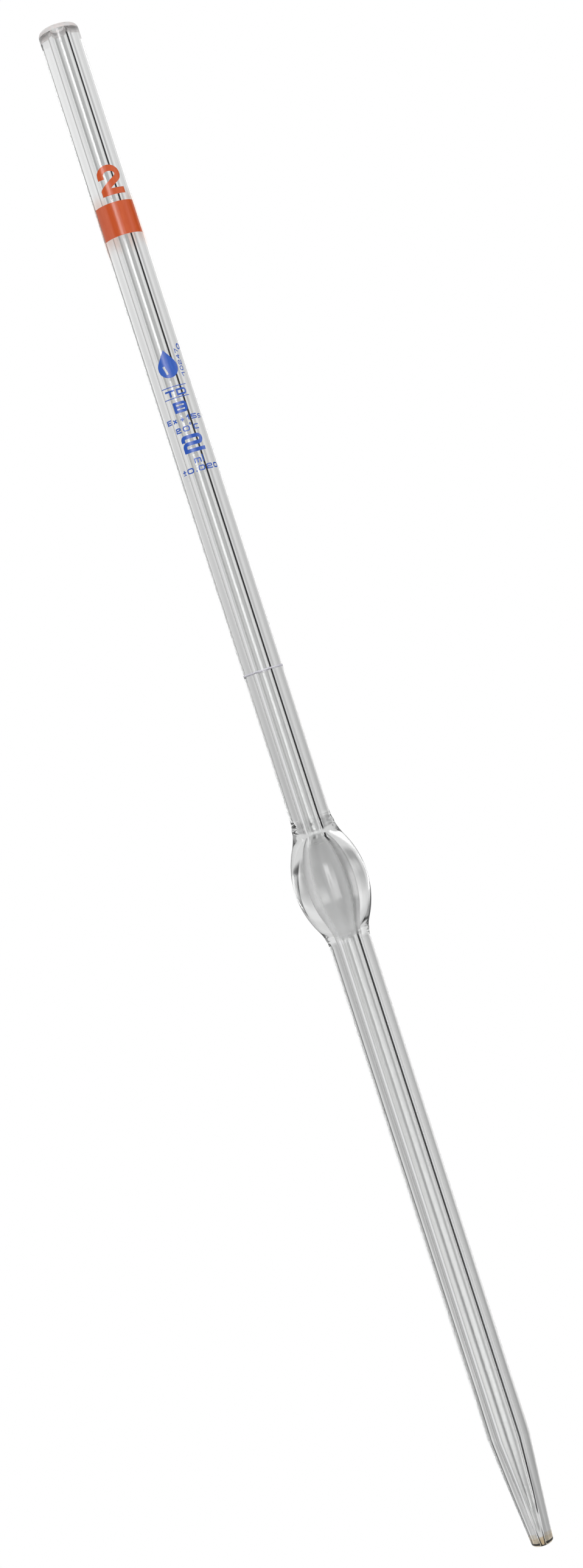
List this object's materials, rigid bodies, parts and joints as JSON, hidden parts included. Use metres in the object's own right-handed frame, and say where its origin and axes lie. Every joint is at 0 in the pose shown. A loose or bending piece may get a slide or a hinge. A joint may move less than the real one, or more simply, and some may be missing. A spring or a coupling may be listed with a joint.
{
  "type": "volumetric pipette",
  "caption": "Slim thick-walled glass transfer pipette with a central bulb, a tapered jet, a ring mark, an orange capacity band and numeral, and blue printed data.",
  "frame": {"origin": "centre of the jet's end face, the lowest point of the pipette held upright", "axes": "+Z along the axis from the jet to the mouth, -Y towards the side that carries the printed marks"},
  "size_m": [0.0156, 0.0156, 0.33],
  "materials": {
    "clear_glass": "clear, fire-polished, colourless with a faint cool edge",
    "orange_enamel": "fired orange enamel, satin",
    "blue_enamel": "fired blue enamel, satin",
    "pale_enamel": "fired pale enamel line, thin and slightly translucent"
  },
  "bodies": {
    "root": {"suction_tube": "clear_glass", "bulb": "clear_glass", "delivery_tube": "clear_glass", "jet": "clear_glass", "ring_mark": "pale_enamel", "colour_band": "orange_enamel", "capacity_numeral": "orange_enamel", "class_letter": "blue_enamel", "delivered_d": "blue_enamel", "delivered_t": "blue_enamel", "delivery_e": "blue_enamel", "delivery_x": "blue_enamel", "drop_mark": "blue_enamel", "lot_digit_1": "blue_enamel", "lot_digit_2": "blue_enamel", "lot_digit_3": "blue_enamel", "lot_digit_4": "blue_enamel", "lot_digit_5": "blue_enamel", "round_mark": "blue_enamel", "rule_lower": "blue_enamel", "rule_upper": "blue_enamel", "temperature_c": "blue_enamel", "temperature_degree": "blue_enamel", "temperature_tens": "blue_enamel", "temperature_units": "blue_enamel", "tolerance_hundredths": "blue_enamel", "tolerance_minus": "blue_enamel", "tolerance_plus": "blue_enamel", "tolerance_point": "blue_enamel", "tolerance_tenths": "blue_enamel", "tolerance_thousandths": "blue_enamel", "tolerance_units": "blue_enamel", "unit_l": "blue_enamel", "unit_m": "blue_enamel", "volume_numeral": "blue_enamel", "wait_plus": "blue_enamel", "wait_seconds": "blue_enamel", "wait_tens": "blue_enamel", "wait_units": "blue_enamel"}
  },
  "joints": []
}
